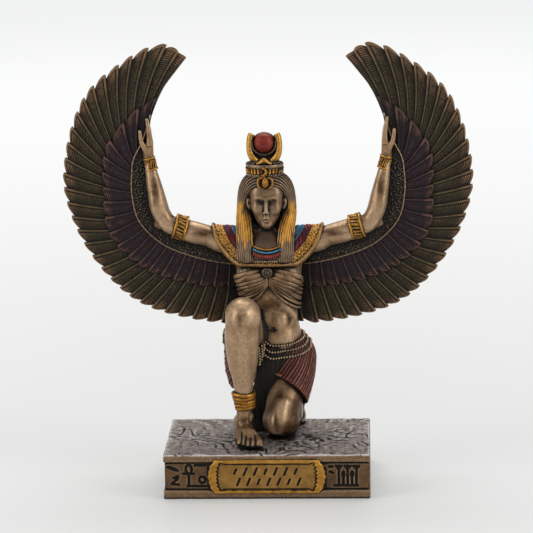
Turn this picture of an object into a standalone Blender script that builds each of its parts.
"""A winged goddess kneeling on an oblong plinth, cast in resin with a bronze finish.

Metres, +Z up, the front towards -Y. The origin is the middle of the plinth's underside.
The figure is drawn in its own units, a millimetre each at its present height, with the
ground that it kneels on at DRAWN_GROUND, and placed() turns a drawn point into a real one.
"""

import math

import bmesh
import bpy
from mathutils import Matrix, Vector

# Plinth
PLINTH_WIDTH = 0.072
PLINTH_DEPTH = 0.0488
PLINTH_HEIGHT = 0.016
TOP_SLAB_HEIGHT = 0.0028
FOOT_SLAB_HEIGHT = 0.0030
SLAB_OVERHANG = 0.0006
SLAB_ROUNDING = 0.0005
PLAQUE_WIDTH = 0.0404
PLAQUE_HEIGHT = 0.0119
PLAQUE_THICKNESS = 0.0011
PLAQUE_RIM = 0.0016
PLAQUE_RIM_RISE = 0.0006
PLAQUE_END_BULGE = 0.0026
PLAQUE_SINK = 0.0006
MARK_DEPTH = 0.0004
MARK_STROKE = 0.0007

# Figure
FIGURE_HEIGHT = 0.1394
SEAT_GAP = 0.0003
WING_THICKNESS = 0.0024
CLOTH_THICKNESS = 0.0009
BAND_RISE = 0.0008

# How finely the body is carved
BODY_VOXEL = 0.0006
BODY_SMOOTHINGS = 5
DRESS_VOXEL = 0.00038
FIGURE_TRIANGLES = 8700

# The figure's drawing
DRAWN_GROUND = 16.0
DRAWN_TOP = 155.4
MIDLINE = 0.6
UNIT = FIGURE_HEIGHT / (DRAWN_TOP - DRAWN_GROUND)

BRONZE = (0.30, 0.20, 0.12, 1.0)
STONE_BRONZE = (0.24, 0.18, 0.13, 1.0)


def placed(point):
    """The real place of a drawn point (x, y, z)."""
    x, y, z = point
    return Vector((x * UNIT, y * UNIT, (z - DRAWN_GROUND) * UNIT + PLINTH_HEIGHT + SEAT_GAP))


def mixed(a, b, share):
    """Two tuples of numbers, mixed: a at share 0 and b at share 1."""
    return tuple(p + (q - p) * share for p, q in zip(a, b))


def through(knots, rows, at):
    """The smooth curve through rows of numbers at rising knots, read at one place."""
    last = len(knots) - 1
    i = max(k for k in range(last) if k == 0 or knots[k] <= at)
    before, after = max(i - 1, 0), min(i + 2, last)
    span = knots[i + 1] - knots[i]
    t = (at - knots[i]) / span
    values = []
    for p, a, b, n in zip(rows[before], rows[i], rows[i + 1], rows[after]):
        start = (b - p) / (knots[i + 1] - knots[before]) * span
        end = (n - a) / (knots[after] - knots[i]) * span
        values.append(
            (2 * t**3 - 3 * t**2 + 1) * a
            + (t**3 - 2 * t**2 + t) * start
            + (3 * t**2 - 2 * t**3) * b
            + (t**3 - t**2) * end
        )
    return tuple(values)


def smoothed(rows, steps):
    """Rows of numbers with steps rows to each span, on the smooth curve through them."""
    knots = list(range(len(rows)))
    count = (len(rows) - 1) * steps
    return [through(knots, rows, i / steps) for i in range(count + 1)]


def skin(bm, rings):
    """Skins closed rings of drawn points into one shell, capped at both ends."""
    rows = [[bm.verts.new(placed(p)) for p in ring] for ring in rings]
    for low, high in zip(rows, rows[1:]):
        for i, vert in enumerate(low):
            j = (i + 1) % len(low)
            bm.faces.new((vert, low[j], high[j], high[i]))
    bm.faces.new(rows[0][::-1])
    bm.faces.new(rows[-1])


def limb(bm, stations, sides=14, steps=3, front=(0, -1, 0), flutes=0, flute_depth=0.0):
    """A limb through stations (x, y, z, half width, half depth), square to its own line.

    With flutes, its surface rises and falls that many times around, by flute_depth.
    """
    rows = smoothed(stations, steps)
    centres = [Vector(row[:3]) for row in rows]
    rings = []
    for i, row in enumerate(rows):
        along = (centres[min(i + 1, len(rows) - 1)] - centres[max(i - 1, 0)]).normalized()
        face = Vector(front) - Vector(front).dot(along) * along
        face.normalize()
        side = along.cross(face)
        ring = []
        for k in range(sides):
            angle = 2 * math.pi * k / sides
            rise = flute_depth * math.cos(flutes * angle) if flutes else 0.0
            ring.append(
                centres[i]
                + side * (row[3] + rise) * math.cos(angle)
                + face * (row[4] + rise) * math.sin(angle)
            )
        rings.append(ring)
    skin(bm, rings)


def ball(bm, centre, radii, sides=14, rings=8):
    """An ellipsoid about a drawn centre."""
    matrix = Matrix.Translation(placed(centre)) @ Matrix.Diagonal((*(r * UNIT for r in radii), 1))
    bmesh.ops.create_uvsphere(bm, u_segments=sides, v_segments=rings, radius=1, matrix=matrix)


def mirrored(stations, middle=MIDLINE):
    """Stations drawn out from the midline, as the left and the right copy."""
    left = [(middle - row[0], *row[1:]) for row in stations]
    right = [(middle + row[0], *row[1:]) for row in stations]
    return left, right


def finished(bm, name, helper=False):
    """An object of that name from bm, its faces pointing out. A helper only shapes others."""
    bmesh.ops.recalc_face_normals(bm, faces=bm.faces)
    mesh = bpy.data.meshes.new(name)
    bm.to_mesh(mesh)
    bm.free()
    obj = bpy.data.objects.new(name, mesh)
    bpy.context.scene.collection.objects.link(obj)
    if helper:
        obj.hide_render = True
        obj.display_type = "WIRE"
    return obj


def material(name, colour, roughness, metallic):
    """A plain finish."""
    made = bpy.data.materials.new(name)
    made.use_nodes = True
    shader = made.node_tree.nodes["Principled BSDF"]
    shader.inputs["Base Color"].default_value = colour
    shader.inputs["Roughness"].default_value = roughness
    shader.inputs["Metallic"].default_value = metallic
    return made


# The body: the limbs' stations are (x, y, z, half width, half depth) in drawn units
TORSO = [
    (3.0, 15.6, 33, 9.0, 7.6), (2.4, 15.2, 38.5, 12.0, 9.6), (1.8, 14.6, 43, 11.8, 9.4),
    (1.6, 13.6, 48, 10.6, 8.2), (1.4, 12.3, 54, 9.4, 6.6), (1.0, 11.4, 60, 9.5, 6.5),
    (0.8, 10.8, 66, 10.6, 7.0), (0.6, 10.4, 72, 11.4, 7.2), (0.5, 10.4, 78, 12.0, 6.9),
    (0.4, 10.6, 84, 12.4, 6.0), (0.4, 10.8, 88, 9.0, 4.8), (0.4, 10.6, 90.5, 4.6, 4.0),
]
NECK = [(0.4, 11.0, 85, 4.6, 4.4), (0.3, 10.0, 90, 3.6, 3.6), (0.2, 9.0, 96, 3.5, 3.8)]
FACE = [
    (0.2, 4.2, 90.3, 1.5, 1.5), (0.2, 4.9, 91.6, 2.9, 3.3), (0.2, 5.7, 94, 4.3, 4.7),
    (0.2, 6.2, 97, 5.2, 5.6), (0.2, 6.6, 100.5, 5.6, 6.1), (0.2, 7.2, 104, 5.5, 6.3),
    (0.2, 8.2, 107, 4.2, 5.4),
]
NOSE = [(0.2, 0.8, 101.2, 0.5, 0.5), (0.2, 0.2, 99.4, 0.6, 0.7), (0.2, -0.3, 97.6, 0.95, 0.8)]
ARM = [
    (12.0, 10.8, 84.8, 5.0, 5.0), (16.5, 10.4, 85.4, 4.4, 4.6), (21.5, 9.8, 86.4, 3.8, 4.0),
    (26.5, 9.4, 88.0, 3.6, 3.7), (31.5, 9.0, 89.6, 3.5, 3.5), (36.0, 8.8, 90.8, 3.5, 3.5),
    (38.1, 8.7, 94.0, 3.3, 3.3), (38.9, 8.5, 99.5, 2.9, 3.0), (40.0, 8.3, 105, 2.7, 2.7),
    (40.9, 8.3, 110, 2.2, 2.1), (41.5, 8.5, 114, 2.0, 1.8), (42.2, 8.9, 118, 2.1, 1.5),
    (42.6, 9.2, 122, 1.9, 1.2),
]
FINGER_LENGTHS = (5.4, 7.0, 7.8, 7.2)
THUMB = [(43.4, 8.4, 115.6, 0.9, 0.9), (45.0, 7.9, 119.2, 0.85, 0.85), (45.6, 7.9, 123.0, 0.6, 0.6)]
RAISED_THIGH = [
    (-4.5, 16.0, 43, 7.6, 8.4), (-5.6, 9.0, 48.5, 7.2, 7.6), (-6.8, 1.0, 55, 6.2, 6.8),
    (-7.8, -6.0, 60.5, 5.6, 6.0), (-8.0, -9.4, 62.5, 5.2, 5.2),
]
SHIN = [
    (-8.2, -9.4, 63, 5.0, 4.6), (-8.6, -8.6, 56, 5.9, 5.6), (-8.6, -7.4, 50, 5.6, 6.0),
    (-8.5, -6.8, 45, 5.0, 5.5), (-8.45, -6.6, 39, 3.95, 4.3), (-8.4, -6.4, 34, 3.2, 3.6),
    (-8.4, -6.2, 28, 2.5, 3.0), (-8.5, -6.0, 23.5, 2.7, 3.3), (-8.6, -5.4, 19.5, 3.0, 3.8),
]
FOOT = [
    (-9.3, -1.0, 18.4, 2.3, 2.6), (-9.0, -4.0, 18.8, 2.9, 3.2), (-8.4, -7.5, 19.2, 3.2, 3.5),
    (-7.3, -10.5, 18.6, 3.8, 2.9), (-6.4, -13.4, 17.6, 4.3, 1.9), (-6.2, -14.8, 17.2, 4.3, 1.4),
]
TOES = [(-2.8, -18.0, 1.45), (-4.9, -18.4, 1.05), (-6.6, -17.8, 1.0), (-8.2, -16.6, 0.95), (-9.6, -15.0, 0.9)]
KNEELING_THIGH = [
    (9.0, 17.0, 43, 7.6, 8.2), (8.6, 13.0, 38, 7.6, 7.8), (7.6, 8.0, 32.5, 7.2, 7.2),
    (6.2, 3.0, 27, 6.5, 6.5), (4.9, -0.6, 22.4, 6.3, 5.6),
]
LOWER_LEG = [
    (5.0, 1.0, 21.0, 5.6, 4.8), (6.4, 7.0, 21.0, 5.2, 4.8), (7.8, 13.0, 20.6, 4.2, 4.2),
    (8.8, 18.0, 20.0, 2.9, 3.2), (9.1, 21.0, 20.6, 2.7, 3.0),
]
TUCKED_FOOT = [
    (9.1, 20.8, 24.0, 2.4, 2.0), (9.2, 21.8, 20.5, 2.9, 2.2), (9.3, 21.2, 18.0, 3.4, 1.7),
    (9.3, 18.4, 16.9, 3.5, 1.2), (9.3, 16.2, 16.7, 3.3, 0.9),
]
BREASTS = [(-5.4, 5.2, 72.6), (6.3, 5.2, 72.6)]
BREAST_RADII = (5.5, 4.9, 5.3)
BODY_BALLS = [
    ((2.0, 8.4, 50.5), (7.0, 4.0, 6.5)),
    ((-3.4, 19.4, 38.0), (7.2, 5.6, 7.2)),
    ((9.2, 19.4, 38.0), (7.2, 5.6, 7.2)),
    ((0.2, 9.8, 101.0), (6.3, 7.2, 7.4)),
    ((-8.1, -9.6, 62.0), (5.5, 5.3, 5.8)),
    ((4.6, -1.2, 21.2), (6.6, 5.4, 5.6)),
    ((0.2, 0.5, 94.9), (1.4, 0.9, 0.7)),
]


def hands(bm):
    """Both open hands: the fingers lie up along the wings, the thumbs stand off."""
    width = 1.05
    for side in (0, 1):
        for i, length in enumerate(FINGER_LENGTHS):
            x = 42.6 + (1.5 - i) * width
            lean = (1.5 - i) * 0.2 - 0.6
            finger = [
                (x, 9.1, 120.5, 0.78, 0.78),
                (x + lean / 2, 9.2, 121.5 + length / 2, 0.72, 0.72),
                (x + lean, 9.4, 121.5 + length, 0.5, 0.5),
            ]
            limb(bm, mirrored(finger)[side], sides=8, steps=2)
        limb(bm, mirrored(THUMB)[side], sides=8, steps=2)


def body():
    """Torso, head, limbs, hands and feet, fused and smoothed as one skin, flat below."""
    bm = bmesh.new()
    for stations in (TORSO, NECK, FACE, RAISED_THIGH, SHIN, KNEELING_THIGH, LOWER_LEG):
        limb(bm, stations, sides=20)
    limb(bm, NOSE, sides=8, steps=2)
    for stations in (*mirrored(ARM), TUCKED_FOOT):
        limb(bm, stations)
    limb(bm, FOOT, front=(0, 0, 1))
    for x, y, radius in TOES:
        root = (x - (x + 6.3) * 0.15, y + 4.2)
        toe = [
            (*root, 17.4, radius, radius), (x, y + 1.6, 17.5, radius * 0.95, radius * 0.9),
            (x, y + 0.2, 16.9, radius, radius * 0.85),
        ]
        limb(bm, toe, sides=8, steps=2, front=(0, 0, 1))
    for centre in BREASTS:
        ball(bm, centre, BREAST_RADII)
    for centre, radii in BODY_BALLS:
        ball(bm, centre, radii)
    hands(bm)
    made = finished(bm, "figure")
    fused(made, BODY_VOXEL)
    smooth = made.modifiers.new("ease", "SMOOTH")
    smooth.factor = 0.5
    smooth.iterations = BODY_SMOOTHINGS
    settled(made)
    return made


def fused(obj, voxel):
    """Fuses an object's overlapping shells into one skin."""
    remesh = obj.modifiers.new("fuse", "REMESH")
    remesh.mode = "VOXEL"
    remesh.voxel_size = voxel
    settled(obj)


def thinned(obj, triangles):
    """Thins an object's mesh to about that many triangles, where it is flattest."""
    thin = obj.modifiers.new("thin", "DECIMATE")
    thin.ratio = min(1.0, triangles / triangle_count(obj))
    settled(obj)


def settled(obj):
    """Makes an object's modifiers part of its mesh."""
    graph = bpy.context.evaluated_depsgraph_get()
    mesh = bpy.data.meshes.new_from_object(obj.evaluated_get(graph))
    obj.modifiers.clear()
    obj.data = mesh


def triangle_count(obj):
    """How many triangles an object's mesh makes."""
    return sum(len(face.vertices) - 2 for face in obj.data.polygons)


def flatten_below(obj, level):
    """Cuts an object off flat at a level and closes the cut."""
    bm = bmesh.new()
    bm.from_mesh(obj.data)
    cut = bmesh.ops.bisect_plane(
        bm,
        geom=bm.verts[:] + bm.edges[:] + bm.faces[:],
        dist=1e-7,
        plane_co=(0, 0, level),
        plane_no=(0, 0, -1),
        clear_outer=True,
    )
    edges = [e for e in cut["geom_cut"] if isinstance(e, bmesh.types.BMEdge)]
    bmesh.ops.holes_fill(bm, edges=edges)
    bmesh.ops.triangulate(bm, faces=bm.faces)
    bm.to_mesh(obj.data)
    bm.free()


# Hair: a striped cap, two lappets in front and the fall of hair behind
CAP_RINGS = [
    (9.9, 98.4, 9.0, 9.2, 33), (9.7, 101.4, 9.1, 8.9, 25), (9.3, 104.0, 8.5, 8.3, 15),
    (8.9, 106.0, 7.4, 7.2, 6), (8.6, 107.3, 6.3, 6.1, 0),
]
CAP_FLUTES = 22
LAPPET = [
    (8.2, 8.6, 102, 1.7, 3.2), (8.6, 7.6, 97, 2.0, 3.0), (8.3, 5.4, 91, 2.4, 2.4),
    (7.9, 3.2, 86, 2.6, 1.9), (7.4, 1.5, 81, 2.6, 1.6), (7.3, 0.9, 77, 2.5, 1.4),
]
BACK_HAIR = [
    (0.2, 13.4, 103.5, 6.0, 3.0), (0.2, 15.2, 100, 8.2, 3.4), (0.2, 16.6, 95, 8.7, 3.0),
    (0.2, 17.2, 89, 8.7, 2.6), (0.2, 17.6, 83, 8.5, 2.2), (0.2, 17.5, 79, 7.8, 1.7),
]


def hair():
    """The wig's three falls and its cap, all with strands."""
    bm = bmesh.new()
    sides = CAP_FLUTES * 2
    rings = []
    for y, z, half_width, half_depth, tilt in smoothed(CAP_RINGS, 1):
        ring = []
        for k in range(sides):
            angle = 2 * math.pi * k / sides
            rise = 0.25 * math.cos(CAP_FLUTES * angle)
            back = -math.cos(angle) * (half_depth + rise)
            ring.append((
                0.1 + math.sin(angle) * (half_width + rise),
                y + back,
                z - back * math.tan(math.radians(tilt)),
            ))
        rings.append(ring)
    skin(bm, rings)
    parts = [finished(bm, "hair_cap", helper=True)]
    for name, stations in zip(("lappet_left", "lappet_right"), mirrored(LAPPET, 0.1)):
        bm = bmesh.new()
        limb(bm, stations, sides=20, steps=1, flutes=10, flute_depth=0.2)
        parts.append(finished(bm, name, helper=True))
    bm = bmesh.new()
    limb(bm, BACK_HAIR, sides=32, steps=1, flutes=16, flute_depth=0.2)
    parts.append(finished(bm, "back_hair", helper=True))
    return parts


# Headdress: a round crown, two horns and the sun disc between them
CROWN = (-0.4, 8.4)
CROWN_PROFILE = [(6.2, 106.4), (6.5, 107.4), (6.2, 107.8), (6.3, 110.4), (6.7, 110.8), (6.7, 111.6), (5.6, 111.7)]
DISC_CENTRE = (-0.5, 8.0, 119.3)
DISC_RADIUS = 4.0
DISC_BACKING = ((-0.5, 8.9, 116.4), (4.9, 1.3, 5.2))
HORN = [
    (0.8, 8.2, 112.0, 1.7, 1.9), (3.4, 8.1, 113.8, 1.6, 1.8), (4.9, 8.0, 116.6, 1.4, 1.6),
    (5.1, 7.9, 120.2, 1.2, 1.4), (4.7, 7.8, 123.6, 0.7, 0.9),
]
ROSETTE = ((0.0, 0.9, 105.3), (2.1, 0.9, 2.1))


def headdress():
    """The crown with its two rims, the horns, the disc and the brow ornament."""
    bm = bmesh.new()
    rings = []
    for radius, z in CROWN_PROFILE:
        turn = [2 * math.pi * k / 18 for k in range(18)]
        rings.append([(CROWN[0] + radius * math.sin(a), CROWN[1] - radius * math.cos(a), z) for a in turn])
    skin(bm, rings)
    parts = [finished(bm, "crown", helper=True)]
    for name, stations in zip(("horn_left", "horn_right"), mirrored(HORN, CROWN[0])):
        bm = bmesh.new()
        limb(bm, stations, sides=8, steps=2)
        parts.append(finished(bm, name, helper=True))
    bm = bmesh.new()
    ball(bm, DISC_CENTRE, (DISC_RADIUS, DISC_RADIUS * 0.85, DISC_RADIUS), sides=14, rings=8)
    ball(bm, *DISC_BACKING, sides=14, rings=8)
    parts.append(finished(bm, "disc", helper=True))
    bm = bmesh.new()
    ball(bm, *ROSETTE, sides=10, rings=6)
    parts.append(finished(bm, "rosette", helper=True))
    return parts


COLLAR_SIDES = 36
# In front it hangs square for that share of its half width, up to that share of the turn
COLLAR_SQUARE = 0.5
COLLAR_CORNER = 0.42
# The collar's rings, from within the chest round its hem and up to the neck: share, lift
COLLAR_RINGS = [(0.5, -4.0), (1.0, -1.0), (1.0, 1.0), (0.7, 1.0), (0.35, 1.0), (0.0, 1.0), (-0.4, -1.0)]


def collar_point(angle, share, lift):
    """A point of the broad collar: angle from the front, share out from the neck."""
    front, side = math.cos(angle), math.sin(angle)
    inner = (0.3 + 4.4 * side, 9.9 - 4.6 * front, 88.6 - (0.2 if front > 0 else 1.6) * abs(front))
    turn = math.acos(min(1.0, abs(front))) / (math.pi / 2)
    if turn < COLLAR_CORNER:
        reach, drop = COLLAR_SQUARE * turn / COLLAR_CORNER, 1.0
    else:
        reach = COLLAR_SQUARE + (1 - COLLAR_SQUARE) * (turn - COLLAR_CORNER) / (1 - COLLAR_CORNER)
        drop = (1 - reach) / (1 - COLLAR_SQUARE)
    depth = 9.4 if front > 0 else 9.0
    sign = 1 if side > 0 else -1
    outer = (0.3 + sign * 20.0 * reach, 9.6 - depth * front, 91.0 - 14.0 * drop)
    x, y, z = mixed(inner, outer, share)
    bow = math.sin(math.pi * max(share, 0.0))
    outward = -1.5 * front * bow - lift * front
    return (x, y + outward, z + bow * (1.2 - 0.4 * abs(front)) + lift * (1 - 0.6 * abs(front)))


def collar():
    """The broad collar over chest, shoulders and back, its hem a cloth's thickness high."""
    lift = CLOTH_THICKNESS / UNIT
    turn = [2 * math.pi * k / COLLAR_SIDES for k in range(COLLAR_SIDES)]
    bm = bmesh.new()
    skin(bm, [[collar_point(angle, share, lift * rise) for angle in turn] for share, rise in COLLAR_RINGS])
    return [finished(bm, "collar", helper=True)]


KNOT = (0.3, 0.3, 73.0)
FOLDS = 5
FOLD_RADIUS = 0.85


def breast_front(x, z, side):
    """How far forward the breast's surface lies at a place, or None outside it."""
    cx, cy, cz = BREASTS[side]
    rx, ry, rz = BREAST_RADII
    left = 1 - ((x - cx) / rx) ** 2 - ((z - cz) / rz) ** 2
    return cy - ry * math.sqrt(left) if left > 0 else None


def wrap():
    """The gathered cloth over the breasts: folds that fan out from a knot between them."""
    parts = []
    for side, sign in enumerate((-1, 1)):
        for k in range(FOLDS):
            share = k / (FOLDS - 1)
            end = (sign * 11.6 + 0.5, 8.6, 77.6 - 12.4 * share - (3.0 * share if sign > 0 else 0))
            stations = []
            for step in range(7):
                s = step / 6
                x, y, z = mixed(KNOT, end, s)
                z -= 1.4 * math.sin(math.pi * s) * (share - 0.2)
                front = breast_front(x, z, side)
                y = min(y, front) if front is not None else y
                radius = FOLD_RADIUS * (0.6 + 0.5 * math.sin(math.pi * s))
                stations.append((x, y, z, radius, radius))
            bm = bmesh.new()
            limb(bm, stations, sides=6, steps=1, front=(0, 0, 1))
            parts.append(finished(bm, f"fold_{side}_{k}", helper=True))
    return parts


# The pleated skirt: round the hips, along both thighs, and the cloth hanging between them
SKIRT_PARTS = {
    "hips": [
        (1.6, 13.8, 48.6, 11.0, 8.6), (1.7, 14.8, 44, 12.8, 10.4), (2.4, 15.4, 38, 13.2, 11.1),
        (3.8, 16.4, 31, 12.0, 10.6), (5.4, 17.8, 24.5, 8.4, 7.2),
    ],
    "kneeling_thigh": [(8.6, 15.0, 41, 8.8, 8.8), (8.1, 11.0, 36, 8.5, 8.6), (7.5, 7.6, 32.0, 8.1, 8.3)],
    "raised_thigh": [(-4.6, 15.0, 43, 8.6, 9.2), (-5.8, 8.0, 49, 8.0, 8.4), (-7.0, 0.5, 55.0, 6.9, 7.5)],
    "side_fall": [
        (-9.4, 7.0, 50, 6.8, 7.8), (-11.0, 7.4, 44, 5.6, 7.4), (-12.0, 8.0, 38, 3.6, 6.2),
        (-12.2, 8.6, 32.5, 2.0, 3.6),
    ],
    "middle_fall": [(0.6, 5.0, 46, 4.8, 2.6), (0.6, 2.6, 38, 4.4, 2.2), (0.5, 1.2, 30, 3.8, 1.9), (0.2, 0.8, 23, 2.6, 1.3)],
}
PLEATS = {"hips": 24, "kneeling_thigh": 16, "raised_thigh": 14, "side_fall": 8, "middle_fall": 7}
PLEAT_DEPTH = 0.28


def skirt():
    """The pleated cloth, one closed solid for each part of it."""
    parts = []
    for name, stations in SKIRT_PARTS.items():
        bm = bmesh.new()
        count = PLEATS[name]
        limb(bm, stations, sides=count * 2, steps=1, flutes=count, flute_depth=PLEAT_DEPTH)
        parts.append(finished(bm, f"skirt_{name}", helper=True))
    return parts


def ring_of(name, centre, axis, radii, thickness, height, sides=16):
    """A round band about a drawn centre, such as a bracelet."""
    along = Vector(axis).normalized()
    face = (Vector((0, -1, 0)) - Vector((0, -1, 0)).dot(along) * along).normalized()
    side = along.cross(face)
    bm = bmesh.new()
    rings = []
    for lift, grow in ((-0.5, -1.0), (-0.5, 0.8), (-0.2, 1.0), (0.2, 1.0), (0.5, 0.8), (0.5, -1.0)):
        ring = []
        for k in range(sides):
            angle = 2 * math.pi * k / sides
            reach = [r + thickness * grow for r in radii]
            offset = side * reach[0] * math.cos(angle) + face * reach[1] * math.sin(angle)
            ring.append(Vector(centre) + along * height * lift + offset)
        rings.append(ring)
    skin(bm, rings)
    return finished(bm, name, helper=True)


ANKLE_BANDS = 4


def bands():
    """Armlets, wristlets and the stack of ankle rings."""
    rise = BAND_RISE / UNIT
    parts = []
    for name, sign in (("left", -1), ("right", 1)):
        armlet = (MIDLINE + sign * 31.1, 9.0, 90.0)
        parts.append(ring_of(f"armlet_{name}", armlet, (sign, -0.07, 0.26), (3.5, 3.5), rise, 4.2))
        wristlet = (MIDLINE + sign * 40.9, 8.35, 112.4)
        parts.append(ring_of(f"wristlet_{name}", wristlet, (sign * 0.13, 0.03, 1), (2.0, 1.9), rise * 0.8, 5.2, 12))
    for k in range(ANKLE_BANDS):
        share = k / (ANKLE_BANDS - 1)
        centre = (-8.3 + 0.5 * share, -6.4, 34.0 - 5.2 * share)
        radii = (3.8 - 0.7 * share, 3.8 - 0.6 * share)
        parts.append(ring_of(f"ankle_ring_{k}", centre, (0.1, 0.05, 1), radii, rise, 1.7, 14))
    return parts


BELT_STRANDS = 3
BELT_SIDES = 28


def belt():
    """Strands of beads about the hips, higher on the kneeling side, as plain cords here."""
    parts = []
    for strand in range(BELT_STRANDS):
        bm = bmesh.new()
        rings = []
        grow = 0.3 * strand
        for k in range(BELT_SIDES):
            angle = 2 * math.pi * k / BELT_SIDES
            out = Vector((math.cos(angle), math.sin(angle), 0))
            middle = Vector((
                1.6 + (11.2 + grow) * out.x,
                13.7 + (8.9 + grow) * out.y,
                48.2 - 2.0 * strand + (1.2 + 0.3 * strand) * out.x + 0.6 * out.y,
            ))
            turn = [2 * math.pi * j / 5 for j in range(5)]
            rings.append([middle + out * math.cos(t) * 0.8 + Vector((0, 0, math.sin(t) * 0.8)) for t in turn])
        rows = [[bm.verts.new(placed(p)) for p in ring] for ring in rings]
        for k, row in enumerate(rows):
            onward = rows[(k + 1) % len(rows)]
            for j in range(5):
                bm.faces.new((row[j], row[(j + 1) % 5], onward[(j + 1) % 5], onward[j]))
        parts.append(finished(bm, f"belt_{strand}", helper=True))
    return parts


# A wing is drawn out from the midline by four curves, read at the same feather numbers:
# the inner edge under the arm, the rim of the shoulder band, the coverts' tips and the
# long feathers' tips. The last knot lies behind the torso.
WING_KNOTS = (0, 1, 3, 7, 12, 16, 20, 24, 29, 31)
WING_INNER = [
    (41.0, 127.5), (41.3, 123.0), (41.3, 117.5), (41.2, 111.0), (39.6, 100.0),
    (36.8, 92.0), (29.8, 90.5), (21.8, 89.0), (9.0, 86.0), (4.5, 85.0),
]
WING_RIM = [
    (40.8, 130.3), (43.3, 122.0), (47.1, 114.6), (48.1, 109.5), (48.4, 101.5),
    (46.2, 92.0), (38.9, 83.8), (28.9, 79.0), (14.0, 75.4), (5.0, 75.0),
]
COVERT_TIPS = [
    (38.3, 136.5), (44.0, 133.3), (49.8, 128.4), (57.1, 118.2), (58.4, 104.6),
    (56.9, 87.7), (46.5, 75.7), (33.1, 69.8), (14.3, 66.8), (5.0, 66.8),
]
FEATHER_TIPS = [
    (27.4, 150.4), (34.3, 155.4), (46.5, 151.7), (64.2, 137.0), (72.5, 109.8),
    (68.4, 89.0), (57.0, 70.7), (42.6, 59.8), (17.4, 53.8), (6.0, 54.6),
]
FEATHERS = WING_KNOTS[-1]
SHOULDER = (15.0, 88.0)
# Across the wing: share from the curve named to the next, the front's rise, the feathers' rise
FRONT_ROWS = [
    (0, 0.0, 1.2, 0.0), (0, 0.85, 1.2, 0.0), (0, 0.9, 1.9, 0.0), (0, 1.0, 1.9, 0.0),
    (1, 0.06, 1.2, 0.3), (1, 1.0, 1.55, 0.35), (1, 1.01, 0.75, 0.3), (2, 1.0, 0.7, 0.35),
]
BACK_ROWS = [(2, 0.98, 0.7, 0.15), (1, 0.6, 0.95, 0.2), (0, 0.5, 1.1, 0.0)]
TIP_NOTCH = 1.3


def wing_middle(x, z):
    """How far back a wing's middle sheet lies: it leaves the back and sweeps forward."""
    rooted = min(1.0, x / 24.0)
    reach = math.hypot(x - SHOULDER[0], z - SHOULDER[1]) / 75.0
    return 15.6 - 3.6 * rooted * rooted * (3 - 2 * rooted) - 5.0 * reach * reach


def wing_point(feather, row, sign, rise):
    """A point of a wing at a feather number and a row (curve, share, ...), raised by rise."""
    curves = (WING_INNER, WING_RIM, COVERT_TIPS, FEATHER_TIPS)
    curve, share = row[0], row[1]
    here = through(WING_KNOTS, curves[curve], feather)
    there = through(WING_KNOTS, curves[curve + 1], feather)
    x, z = mixed(here, there, share)
    return (MIDLINE + sign * x, wing_middle(x, z) - rise, z)


def wing(name, sign):
    """One wing: band, rim, coverts and long feathers, every feather ridged along its middle."""
    scale = WING_THICKNESS / UNIT / 2.4
    columns = FEATHERS * 2
    bm = bmesh.new()
    sheet = []
    for column in range(columns + 1):
        feather = column / 2
        ridge = 1.0 if column % 2 else -1.0
        notch = 0.0 if column % 2 else TIP_NOTCH
        rows = []
        for row in FRONT_ROWS:
            rise = scale * (row[2] + ridge * row[3])
            if row[1] >= 1.0 and row[0] > 0:
                length = 12.0 if row[0] == 1 else 18.0
                row = (row[0], row[1] - notch / length * (0.6 if row[0] == 1 else 1.0), *row[2:])
            rows.append(wing_point(feather, row, sign, rise))
        for row in BACK_ROWS:
            share = row[1] - (notch / 18.0 if row[0] == 2 else 0.0)
            rise = -scale * (row[2] + ridge * row[3])
            rows.append(wing_point(feather, (row[0], share), sign, rise))
        rows.append(wing_point(feather, (0, 0.0), sign, -scale * 1.1))
        sheet.append([bm.verts.new(placed(p)) for p in rows])
    for here, onward in zip(sheet, sheet[1:]):
        for i in range(len(here)):
            j = (i + 1) % len(here)
            bm.faces.new((here[i], here[j], onward[j], onward[i]))
    bm.faces.new(sheet[0][::-1])
    bm.faces.new(sheet[-1])
    bmesh.ops.triangulate(bm, faces=bm.faces)
    return finished(bm, name, helper=True)


def figure():
    """The whole casting: body, dress, ornaments and wings in one solid."""
    made = body()
    parts = [
        *hair(), *headdress(), *collar(), *wrap(), *skirt(), *bands(), *belt(),
        wing("wing_left", -1), wing("wing_right", 1),
    ]
    bm = bmesh.new()
    for part in (made, *parts):
        bm.from_mesh(part.data)
    bm.to_mesh(made.data)
    bm.free()
    for part in parts:
        bpy.data.objects.remove(part)
    fused(made, DRESS_VOXEL)
    thinned(made, FIGURE_TRIANGLES)
    flatten_below(made, PLINTH_HEIGHT + SEAT_GAP)
    made.data.materials.append(material("bronze_resin", BRONZE, 0.38, 0.8))
    return made


def outline_prism(bm, outline, back, front):
    """A flat piece that follows an outline (x, z), between two depths."""
    rows = [[bm.verts.new((x, y, z)) for x, z in outline] for y in (back, front)]
    count = len(outline)
    for i in range(count):
        j = (i + 1) % count
        bm.faces.new((rows[0][i], rows[0][j], rows[1][j], rows[1][i]))
    bm.faces.new(rows[0][::-1])
    bm.faces.new(rows[1])


def plaque_outline(inset, steps=5):
    """The plaque's outline about its middle: straight above and below, stepped round ends."""
    half_height = PLAQUE_HEIGHT / 2 - inset
    half_width = PLAQUE_WIDTH / 2 - inset
    shoulder = half_width - PLAQUE_END_BULGE - half_height * 0.45
    end = []
    for i in range(steps + 1):
        angle = math.pi * (i / steps - 0.5)
        end.append((half_width - PLAQUE_END_BULGE * (1 - math.cos(angle)), half_height * 0.72 * math.sin(angle)))
    right = [(shoulder, -half_height), *end, (shoulder, half_height)]
    return right + [(-x, z) for x, z in reversed(right)]


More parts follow.
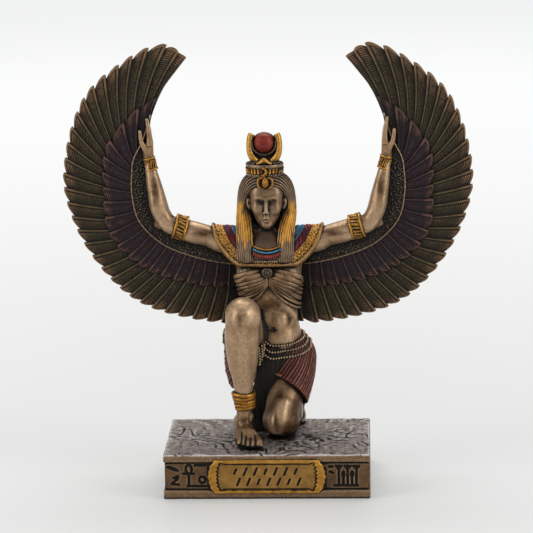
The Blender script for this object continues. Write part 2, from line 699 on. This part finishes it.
def slab(name, width, depth, low, high, rounding):
    """An oblong slab with eased edges."""
    bm = bmesh.new()
    matrix = Matrix.Translation((0, 0, (low + high) / 2)) @ Matrix.Diagonal((width, depth, high - low, 1))
    bmesh.ops.create_cube(bm, size=1, matrix=matrix)
    bmesh.ops.bevel(bm, geom=bm.edges[:], offset=rounding, segments=1, affect="EDGES")
    return finished(bm, name, helper=True)


def strokes():
    """Shallow marks that stand for the inscription and for the band of signs beside it."""
    middle = PLINTH_HEIGHT / 2 + (FOOT_SLAB_HEIGHT - TOP_SLAB_HEIGHT) / 2
    bars = []
    for row in (-1, 1):
        for k in range(7):
            x = (k - 3) * PLAQUE_WIDTH * 0.1
            length = 0.0021 if (k + row) % 2 else 0.0014
            bars.append((x, middle + row * 0.0017, length, 20, True))
    field = PLINTH_WIDTH / 2 - PLAQUE_WIDTH / 2
    for side in (-1, 1):
        for k in range(4):
            x = side * (PLAQUE_WIDTH / 2 + field * (0.25 + 0.17 * k))
            bars.append((x, middle, 0.0046 if k % 2 else 0.0030, 0, False))
    return bars


def plinth():
    """The oblong plinth: two slabs, a set-back block, and the plaque on its front."""
    front = -PLINTH_DEPTH / 2 + SLAB_OVERHANG
    made = slab("plinth", PLINTH_WIDTH, PLINTH_DEPTH, PLINTH_HEIGHT - TOP_SLAB_HEIGHT, PLINTH_HEIGHT, SLAB_ROUNDING)
    made.hide_render = False
    made.display_type = "TEXTURED"
    inner_width = PLINTH_WIDTH - 2 * SLAB_OVERHANG
    inner_depth = PLINTH_DEPTH - 2 * SLAB_OVERHANG
    overlap = SLAB_ROUNDING * 2
    block = slab(
        "block", inner_width, inner_depth, FOOT_SLAB_HEIGHT - overlap,
        PLINTH_HEIGHT - TOP_SLAB_HEIGHT + overlap, SLAB_ROUNDING / 2,
    )
    foot = slab("foot_slab", PLINTH_WIDTH, PLINTH_DEPTH, 0.0, FOOT_SLAB_HEIGHT, SLAB_ROUNDING)
    middle = PLINTH_HEIGHT / 2 + (FOOT_SLAB_HEIGHT - TOP_SLAB_HEIGHT) / 2
    bm = bmesh.new()
    face = front - PLAQUE_THICKNESS - PLAQUE_RIM_RISE
    outline_prism(bm, [(x, z + middle) for x, z in plaque_outline(0.0)], front + 0.002, face)
    plaque = finished(bm, "plaque", helper=True)
    bm = bmesh.new()
    outline_prism(bm, [(x, z + middle) for x, z in plaque_outline(PLAQUE_RIM)], face + PLAQUE_SINK, face - 0.002)
    panel = finished(bm, "plaque_panel", helper=True)
    for name, helper, operation in (
        ("block", block, "UNION"), ("foot", foot, "UNION"),
        ("plaque", plaque, "UNION"), ("panel", panel, "DIFFERENCE"),
    ):
        step = made.modifiers.new(name, "BOOLEAN")
        step.operation = operation
        step.object = helper
    bm = bmesh.new()
    for x, z, length, lean, on_plaque in strokes():
        depth = face + PLAQUE_SINK + MARK_DEPTH if on_plaque else front + MARK_DEPTH
        size = Matrix.Diagonal((MARK_STROKE, 0.004, length, 1))
        turn = Matrix.Rotation(math.radians(lean), 4, "Y")
        bmesh.ops.create_cube(bm, size=1, matrix=Matrix.Translation((x, depth - 0.002, z)) @ turn @ size)
    marks = finished(bm, "marks", helper=True)
    cut = made.modifiers.new("marks", "BOOLEAN")
    cut.operation = "DIFFERENCE"
    cut.object = marks
    made.data.materials.append(material("plinth_resin", STONE_BRONZE, 0.55, 0.6))
    return made


def main():
    """Clears the scene and builds both pieces."""
    for obj in list(bpy.data.objects):
        bpy.data.objects.remove(obj)
    plinth()
    figure()


main()
